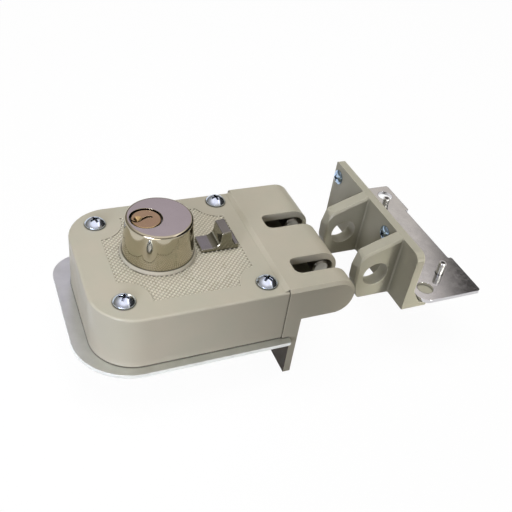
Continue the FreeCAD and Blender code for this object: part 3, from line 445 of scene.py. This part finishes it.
# Turned brass: warm and smooth, with faint rings on the plug's face.
TURNED_BRASS = TurnedFinish(
    name="turned_free_cutting_brass", colour="BFA476", second_colour="B79B70", roughness=0.2,
    metallic=1.0, edge_round_mm=0.3, edge_cue=EdgeCue.SOFT, edge_colour="FFF0CC", tone_mm=8.0,
    roughness_spread=0.03, grain_height_mm=0.0003, grime_and_shade=0.97, grime_and_shade_mm=0.9, grime_and_shade_colour="0C0804",
    axis_mm=(-5.9, 0.0),
)
# Centreless-ground steel: dull silver with fine cross grain.
GROUND_STEEL = Finish(
    name="centreless_ground_steel", colour="A9A79E", second_colour="9A988F", roughness=0.34, metallic=1.0,
    edge_round_mm=0.2, edge_cue=EdgeCue.SOFT, edge_colour="D0CEC4", tone_mm=5.0,
    grain_mm=0.2, grain_height_mm=0.002, grain_stretch=(1.0, 6.0, 1.0), grime_and_shade_alone=True,
)
# Hardened spring steel: dark from heat treatment.
SPRING_STEEL = Finish(
    name="hardened_spring_steel", colour="6E6E70", second_colour="5C5D60", roughness=0.32, metallic=1.0,
    edge_round_mm=0.1, edge_cue=EdgeCue.NONE, tone_mm=4.0, grain_mm=0.3, grain_height_mm=0.002,
    grime_and_shade_alone=True,
)

FINISH_OF_SLOT: dict[str, Finish] = {
    "case_paint": STOVED_ENAMEL,
    "zinc_sheet": ZINC_SHEET,
    "zinc_screw": ZINC_SCREW,
    "chrome_plate": CHROME_PLATE,
    "brass": TURNED_BRASS,
    "bolt_steel": GROUND_STEEL,
    "spring_steel": SPRING_STEEL,
}
# Nodes whose finish differs from the rest of their slot.
FINISH_OF_NODE: dict[str, Finish] = {
    "slide_button": DULL_NICKEL,
    "strike_casting": SHADED_ENAMEL,
    "strike_face_screws": SHADED_BLUE_SCREW,
    "strike_clamp_screws": ROLLED_THREAD,
    "strike_backing_plate": ZINC_STRIP,
}


@dataclass
class FinishedNodes:
    """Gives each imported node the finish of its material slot."""

    materials: dict[str, bpy.types.Material] = field(default_factory=dict)

    def of_finish(self, finish: Finish) -> bpy.types.Material:
        """Gives the material of a finish, which is made once.

        Args:
            finish: The finish.

        Returns:
            Its material.
        """
        if finish.name not in self.materials:
            self.materials[finish.name] = finish.material()
        return self.materials[finish.name]

    def dress(self) -> None:
        """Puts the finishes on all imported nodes."""
        for part in frame["record"]["subparts"]:
            name = part["node"]
            finish = FINISH_OF_NODE.get(name, FINISH_OF_SLOT[part["material_slot"]])
            node = frame["nodes"][name]
            node.data.materials.clear()
            node.data.materials.append(self.of_finish(finish))
            LOG.info("finished %s", name)


@dataclass
class KnurledPanel:
    """Field of small pyramids in the recess of the case's face.

    Sizes are in millimetres in the frame's axes. Each cell of the pitch rises by point_mm over a flank.
    The field runs a margin past the recess, under the plain face, where its points are kept down to
    covered_mm. The notches are the round fields about the case's screws.
    """

    pitch_mm: float = 1.5
    low_mm: tuple[float, float] = (-22.4, -30.9)
    high_mm: tuple[float, float] = (37.5, 26.6)
    floor_mm: float = 29.05
    point_mm: float = 0.6
    margin_mm: float = 2.0
    flank_mm: float = 0.58
    skin_mm: float = 0.25
    cylinder_r_mm: float = 16.0
    notch_r_mm: float = 9.6
    recess_notch_r_mm: float = 11.8
    covered_mm: float = 0.36
    notches_mm: tuple[tuple[float, float], ...] = (
        (-22.6, 24.7), (-22.2, -28.4), (37.7, 30.0), (39.6, -31.9),
    )
    slot_low_mm: tuple[float, float] = (23.2, -4.8)
    slot_high_mm: tuple[float, float] = (36.2, 2.6)

    def hidden(self, spot: Vector) -> bool:
        """Says whether a cell lies under the case's plain face, the cylinder or the button.

        Args:
            spot: Centre of the cell in millimetres.

        Returns:
            True where the cell is never seen.
        """
        margin = self.margin_mm
        past_edge = (spot.x < self.low_mm[0] - margin or spot.x > self.high_mm[0] + margin
                     or spot.y < self.low_mm[1] - margin or spot.y > self.high_mm[1] + margin)
        in_notch = any(math.hypot(spot.x - x, spot.y - y) < self.notch_r_mm for x, y in self.notches_mm)
        in_slot = (self.slot_low_mm[0] < spot.x < self.slot_high_mm[0]
                   and self.slot_low_mm[1] < spot.y < self.slot_high_mm[1])
        return past_edge or in_notch or in_slot or math.hypot(spot.x, spot.y) < self.cylinder_r_mm

    def covered(self, spot: Vector) -> bool:
        """Says whether a point of the field lies past the recess's edge, under the case's plain face.

        Args:
            spot: Point in millimetres.

        Returns:
            True where the plain face covers the field.
        """
        past_edge = (spot.x < self.low_mm[0] or spot.x > self.high_mm[0]
                     or spot.y < self.low_mm[1] or spot.y > self.high_mm[1])
        return past_edge or any(
            math.hypot(spot.x - x, spot.y - y) < self.recess_notch_r_mm for x, y in self.notches_mm)

    def build(self, paint: bpy.types.Material) -> bpy.types.Object:
        """Makes the panel from a turned grid whose cells rise to blunt points.

        Args:
            paint: Material of the points.

        Returns:
            The panel's object.
        """
        middle_x = (self.low_mm[0] + self.high_mm[0]) / 2
        middle_y = (self.low_mm[1] + self.high_mm[1]) / 2
        # The grid stands on a corner, so its side is its reach times the root of two.
        reach = (self.high_mm[0] - self.low_mm[0] + self.high_mm[1] - self.low_mm[1]) / 2
        cells = math.ceil((reach + 2 * self.margin_mm) * math.sqrt(2) / self.pitch_mm)
        mesh = bmesh.new()
        turn = Matrix.Translation((middle_x, middle_y, 0.0)) @ Matrix.Rotation(math.radians(45), 4, "Z")
        bmesh.ops.create_grid(mesh, x_segments=cells, y_segments=cells,
                              size=cells * self.pitch_mm / 2, matrix=turn)
        unseen = [face for face in mesh.faces if self.hidden(face.calc_center_median())]
        bmesh.ops.delete(mesh, geom=unseen, context="FACES")
        bmesh.ops.inset_individual(mesh, faces=mesh.faces[:], thickness=self.flank_mm, depth=self.point_mm)
        for vert in mesh.verts:
            if self.covered(vert.co):
                vert.co.z = min(vert.co.z, self.covered_mm)
        bmesh.ops.solidify(mesh, geom=mesh.faces[:], thickness=self.skin_mm)
        bmesh.ops.recalc_face_normals(mesh, faces=mesh.faces[:])
        lift = Matrix.Scale(MM, 4) @ Matrix.Translation((0.0, 0.0, self.floor_mm))
        bmesh.ops.transform(mesh, matrix=lift, verts=mesh.verts[:])
        for face in mesh.faces:
            face.smooth = True
        piece = as_object("knurled_panel", mesh, paint)
        rounding = piece.modifiers.new("soft_points", "SUBSURF")
        rounding.levels = 1
        rounding.render_levels = 1
        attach(piece, "lock_body")
        return piece


def as_object(name: str, mesh: bmesh.types.BMesh, material: bpy.types.Material) -> bpy.types.Object:
    """Turns a finished bmesh into a linked object.

    Args:
        name: Name of the piece.
        mesh: The bmesh, which is freed.
        material: Its material.

    Returns:
        The new object.
    """
    data = bpy.data.meshes.new(name)
    mesh.to_mesh(data)
    mesh.free()
    data.materials.append(material)
    piece = bpy.data.objects.new(name, data)
    bpy.context.scene.collection.objects.link(piece)
    return piece


@dataclass(frozen=True)
class SoftLamp:
    """A square soft lamp that looks at a point of the lock, in metres."""

    name: str
    place: tuple[float, float, float]
    target: tuple[float, float, float]
    size: float
    power: float
    colour: str = WHITE
    spread_deg: float = 180.0
    mirrored: bool = True

    def hang(self) -> None:
        """Makes the lamp, which the camera never sees and metal shows only where it is mirrored."""
        data = bpy.data.lights.new(self.name, "AREA")
        data.shape = "SQUARE"
        data.size = self.size
        data.energy = self.power
        data.spread = math.radians(self.spread_deg)
        data.color = linear(self.colour)[:3]
        lamp = bpy.data.objects.new(self.name, data)
        bpy.context.scene.collection.objects.link(lamp)
        lamp.visible_camera = False
        lamp.visible_glossy = self.mirrored
        aim = Vector(self.target) - Vector(self.place)
        turn = aim.to_track_quat("-Z", "Y").to_matrix().to_4x4()
        lamp.matrix_world = Matrix.Translation(self.place) @ turn


# Level of the room's light to the right, along the X of a direction: it falls off at the dark side,
# and just before that it rises to a window.
DARK_SIDE = {"From Min": 0.562, "From Max": 0.60, "To Min": 1.0, "To Max": 0.06}
WINDOW_SIDE = {"From Min": 0.34, "From Max": 0.50, "To Min": 1.0, "To Max": 2.1}
# Level of the room's light upward, along the Z of a direction, and what the ceiling adds to it.
LOW_TO_HIGH = {"From Min": 0.15, "From Max": 0.80, "To Min": 0.10, "To Max": 0.62}
CEILING = {"From Min": 0.72, "From Max": 0.90, "To Min": 0.0, "To Max": 0.6}
# Cosine to the middle of the far wall where the wall starts and where it is full.
FAR_WALL = {"From Min": 0.980, "From Max": 0.992}
# Z of a direction over which the white backdrop, as mirrored, gives way to the room.
HORIZON = {"From Min": 0.05, "From Max": 0.20, "To Min": 1.0, "To Max": 0.0}


@dataclass
class Studio:
    """Camera, lamps, backdrop and floor, in metres.

    right, up and back are the camera's axes. far_wall points to the middle of the room's lilac wall.
    """

    eye: tuple[float, float, float] = (-0.07262, -0.23062, 0.22875)
    right: tuple[float, float, float] = (0.92002, -0.37187, 0.12357)
    up: tuple[float, float, float] = (0.14982, 0.62519, 0.76596)
    back: tuple[float, float, float] = (-0.36209, -0.68619, 0.63090)
    lens_mm: float = 49.10
    sensor_mm: float = 36.0
    clip_start: float = 0.01
    clip_end: float = 20.0
    floor_centre: tuple[float, float, float] = (0.05, 0.0, -0.0227)
    floor_half: float = 3.0
    floor_colour: str = "6E6752"
    camera_glow: float = 0.96
    mirror_glow: float = 0.15
    room_share: float = 0.45
    low_room_colour: str = "DCD2B4"
    high_room_colour: str = "F4F0FF"
    far_wall: tuple[float, float, float] = (0.22, 0.76, 0.60)
    far_wall_colour: str = "E5DCFF"
    far_wall_lift: float = 0.83
    # A broad light from above, a cool one on the case's near wall, and two small fills for what stays dark.
    lamps: tuple[SoftLamp, ...] = (
        SoftLamp("overhead_soft_box", place=(0.02, 0.05, 0.90), target=(0.03, 0.0, 0.0), size=0.6,
                 power=5.1, mirrored=False),
        SoftLamp("low_left_soft_box", place=(-0.21, -0.19, 0.085), target=(-0.036, -0.01, 0.012), size=0.16,
                 power=0.075, colour="E9ECFF", spread_deg=40.0),
        SoftLamp("front_fill", place=(-0.075, -0.17, 0.05), target=(-0.01, -0.04, 0.012), size=0.08,
                 power=0.008, colour="FFFAF0", spread_deg=60.0),
        SoftLamp("strike_end_fill", place=(0.17, -0.18, 0.035), target=(0.122, -0.041, 0.017), size=0.05,
                 power=0.0095, colour="FFFCF4", spread_deg=30.0),
    )

    def shoot(self) -> None:
        """Sets up the whole studio."""
        self.camera()
        self.world()
        self.floor()
        for lamp in self.lamps:
            lamp.hang()
            LOG.info("hung %s", lamp.name)
        bpy.context.scene.view_settings.view_transform = "Standard"

    def camera(self) -> None:
        """Puts the camera where the photograph was taken."""
        data = bpy.data.cameras.new("camera")
        data.lens = self.lens_mm
        data.sensor_width = self.sensor_mm
        data.clip_start = self.clip_start
        data.clip_end = self.clip_end
        eye = bpy.data.objects.new("camera", data)
        bpy.context.scene.collection.objects.link(eye)
        axes = Matrix((self.right, self.up, self.back)).transposed()
        eye.matrix_world = Matrix.Translation(self.eye) @ axes.to_4x4()
        bpy.context.scene.camera = eye

    def world(self) -> None:
        """White backdrop for the eye, and a grey room with a dark side for light and reflections."""
        world = bpy.data.worlds.new("studio_room")
        bpy.context.scene.world = world
        world.use_nodes = True
        tree = world.node_tree
        tree.nodes.clear()
        way = add_node(tree, "ShaderNodeTexCoord").outputs["Generated"]
        rays = add_node(tree, "ShaderNodeLightPath")
        backdrop = add_node(tree, "ShaderNodeBackground", {"Color": linear(WHITE), "Strength": 1.0})
        mixed = add_node(tree, "ShaderNodeMixShader", {
            "Fac": self.backdrop_share(tree, way, rays),
            1: self.room(tree, way, rays),
            2: backdrop.outputs["Background"],
        })
        add_node(tree, "ShaderNodeOutputWorld", {"Surface": mixed.outputs["Shader"]})

    def room(self, tree: bpy.types.NodeTree, way: Socket, rays: bpy.types.Node) -> Socket:
        """Grey room, brighter upward, with a window, a dark side and a lilac far wall.

        Args:
            tree: Node tree of the world.
            way: Direction in which a ray leaves.
            rays: Node that tells the kinds of ray apart.

        Returns:
            Shader socket of the room.
        """
        axes = add_node(tree, "ShaderNodeSeparateXYZ", {"Vector": way})
        side = add_node(tree, "ShaderNodeMapRange", {"Value": axes.outputs["X"], **DARK_SIDE})
        window = add_node(tree, "ShaderNodeMapRange", {"Value": axes.outputs["X"], **WINDOW_SIDE})
        height = add_node(tree, "ShaderNodeMapRange", {"Value": axes.outputs["Z"], **LOW_TO_HIGH})
        ceiling = add_node(tree, "ShaderNodeMapRange", {"Value": axes.outputs["Z"], **CEILING})
        rising = add_node(tree, "ShaderNodeMath", {
            0: height.outputs["Result"], 1: ceiling.outputs["Result"],
        }, operation="ADD")
        toward_far_wall = add_node(tree, "ShaderNodeVectorMath", {
            0: way, 1: Vector(self.far_wall).normalized(),
        }, operation="DOT_PRODUCT")
        far_wall = add_node(tree, "ShaderNodeMapRange", {
            "Value": toward_far_wall.outputs["Value"], **FAR_WALL,
        })
        lift = add_node(tree, "ShaderNodeMath", {
            0: far_wall.outputs["Result"], 1: self.far_wall_lift, 2: 1.0,
        }, operation="MULTIPLY_ADD")
        lit_window = add_node(tree, "ShaderNodeMath", {
            0: window.outputs["Result"], 1: lift.outputs["Value"],
        }, operation="MAXIMUM")
        walls = add_node(tree, "ShaderNodeMath", {
            0: side.outputs["Result"], 1: lit_window.outputs["Value"],
        }, operation="MULTIPLY")
        dimmed = add_node(tree, "ShaderNodeMapRange", {
            "Value": rays.outputs["Is Diffuse Ray"], "To Min": 1.0, "To Max": self.room_share,
        })
        bright = add_node(tree, "ShaderNodeMath", {
            0: walls.outputs["Value"], 1: dimmed.outputs["Result"],
        }, operation="MULTIPLY")
        level = add_node(tree, "ShaderNodeMath", {
            0: bright.outputs["Value"], 1: rising.outputs["Value"],
        }, operation="MULTIPLY")
        room_colour = add_node(tree, "ShaderNodeMix", {
            SHARE: height.outputs["Result"],
            FIRST: linear(self.low_room_colour), SECOND: linear(self.high_room_colour),
        }, data_type="RGBA")
        wall_colour = add_node(tree, "ShaderNodeMix", {
            SHARE: far_wall.outputs["Result"],
            FIRST: room_colour.outputs[MIXED], SECOND: linear(self.far_wall_colour),
        }, data_type="RGBA")
        return add_node(tree, "ShaderNodeBackground", {
            "Color": wall_colour.outputs[MIXED], "Strength": level.outputs["Value"],
        }).outputs["Background"]

    def backdrop_share(self, tree: bpy.types.NodeTree, way: Socket, rays: bpy.types.Node) -> Socket:
        """Where the backdrop shows: to the camera all over, and low on the lit side to mirroring metal.

        Args:
            tree: Node tree of the world.
            way: Direction in which a ray leaves.
            rays: Node that tells the kinds of ray apart.

        Returns:
            Value socket, one where the backdrop hides the room.
        """
        axes = add_node(tree, "ShaderNodeSeparateXYZ", {"Vector": way})
        side = add_node(tree, "ShaderNodeMapRange", {"Value": axes.outputs["X"], **DARK_SIDE})
        low = add_node(tree, "ShaderNodeMapRange", {"Value": axes.outputs["Z"], **HORIZON})
        lit_side = add_node(tree, "ShaderNodeMath", {
            0: rays.outputs["Is Glossy Ray"], 1: side.outputs["Result"],
        }, operation="MULTIPLY")
        mirrored = add_node(tree, "ShaderNodeMath", {
            0: lit_side.outputs["Value"], 1: low.outputs["Result"],
        }, operation="MULTIPLY")
        direct = add_node(tree, "ShaderNodeMath", {
            0: rays.outputs["Is Camera Ray"], 1: rays.outputs["Is Transmission Ray"],
        }, operation="MAXIMUM")
        return add_node(tree, "ShaderNodeMath", {
            0: direct.outputs["Value"], 1: mirrored.outputs["Value"],
        }, operation="MAXIMUM").outputs["Value"]

    def floor(self) -> None:
        """Pale floor that reads as the white backdrop and keeps a soft shadow."""
        material = bpy.data.materials.new("matt_white_table")
        material.use_nodes = True
        tree = material.node_tree
        tree.nodes.clear()
        rays = add_node(tree, "ShaderNodeLightPath")
        mirrored = add_node(tree, "ShaderNodeMath", {
            0: rays.outputs["Is Glossy Ray"], 1: rays.outputs["Is Transmission Ray"],
        }, operation="MAXIMUM")
        seen = add_node(tree, "ShaderNodeMath", {
            0: rays.outputs["Is Camera Ray"], 1: mirrored.outputs["Value"],
        }, operation="MAXIMUM")
        tone = add_node(tree, "ShaderNodeMix", {
            SHARE: seen.outputs["Value"], FIRST: linear(self.floor_colour), SECOND: linear(WHITE),
        }, data_type="RGBA")
        matt = add_node(tree, "ShaderNodeBsdfDiffuse", {"Color": tone.outputs[MIXED]})
        glow = add_node(tree, "ShaderNodeEmission", {"Color": linear(WHITE), "Strength": 1.0})
        mirror_glow = add_node(tree, "ShaderNodeMath", {0: mirrored.outputs["Value"], 1: self.mirror_glow},
                               operation="MULTIPLY")
        share = add_node(tree, "ShaderNodeMath", {
            0: rays.outputs["Is Camera Ray"], 1: self.camera_glow, 2: mirror_glow.outputs["Value"],
        }, operation="MULTIPLY_ADD")
        mixed = add_node(tree, "ShaderNodeMixShader", {
            "Fac": share.outputs["Value"], 1: matt.outputs["BSDF"], 2: glow.outputs["Emission"],
        })
        add_node(tree, "ShaderNodeOutputMaterial", {"Surface": mixed.outputs["Shader"]})
        mesh = bmesh.new()
        bmesh.ops.create_grid(mesh, x_segments=1, y_segments=1, size=self.floor_half,
                              matrix=Matrix.Translation(self.floor_centre))
        table = as_object("table", mesh, material)
        LOG.info("laid %s", table.name)


def main() -> None:
    """Builds and dresses the lock, then sets the studio around it."""
    logging.basicConfig(level=logging.INFO, format="%(name)s: %(message)s")
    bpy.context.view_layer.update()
    finishes = FinishedNodes()
    finishes.dress()
    panel = KnurledPanel().build(finishes.of_finish(KNURL_ENAMEL))
    LOG.info("built %s with %d faces", panel.name, len(panel.data.polygons))
    Studio().shoot()


if __name__ == "__main__":
    main()
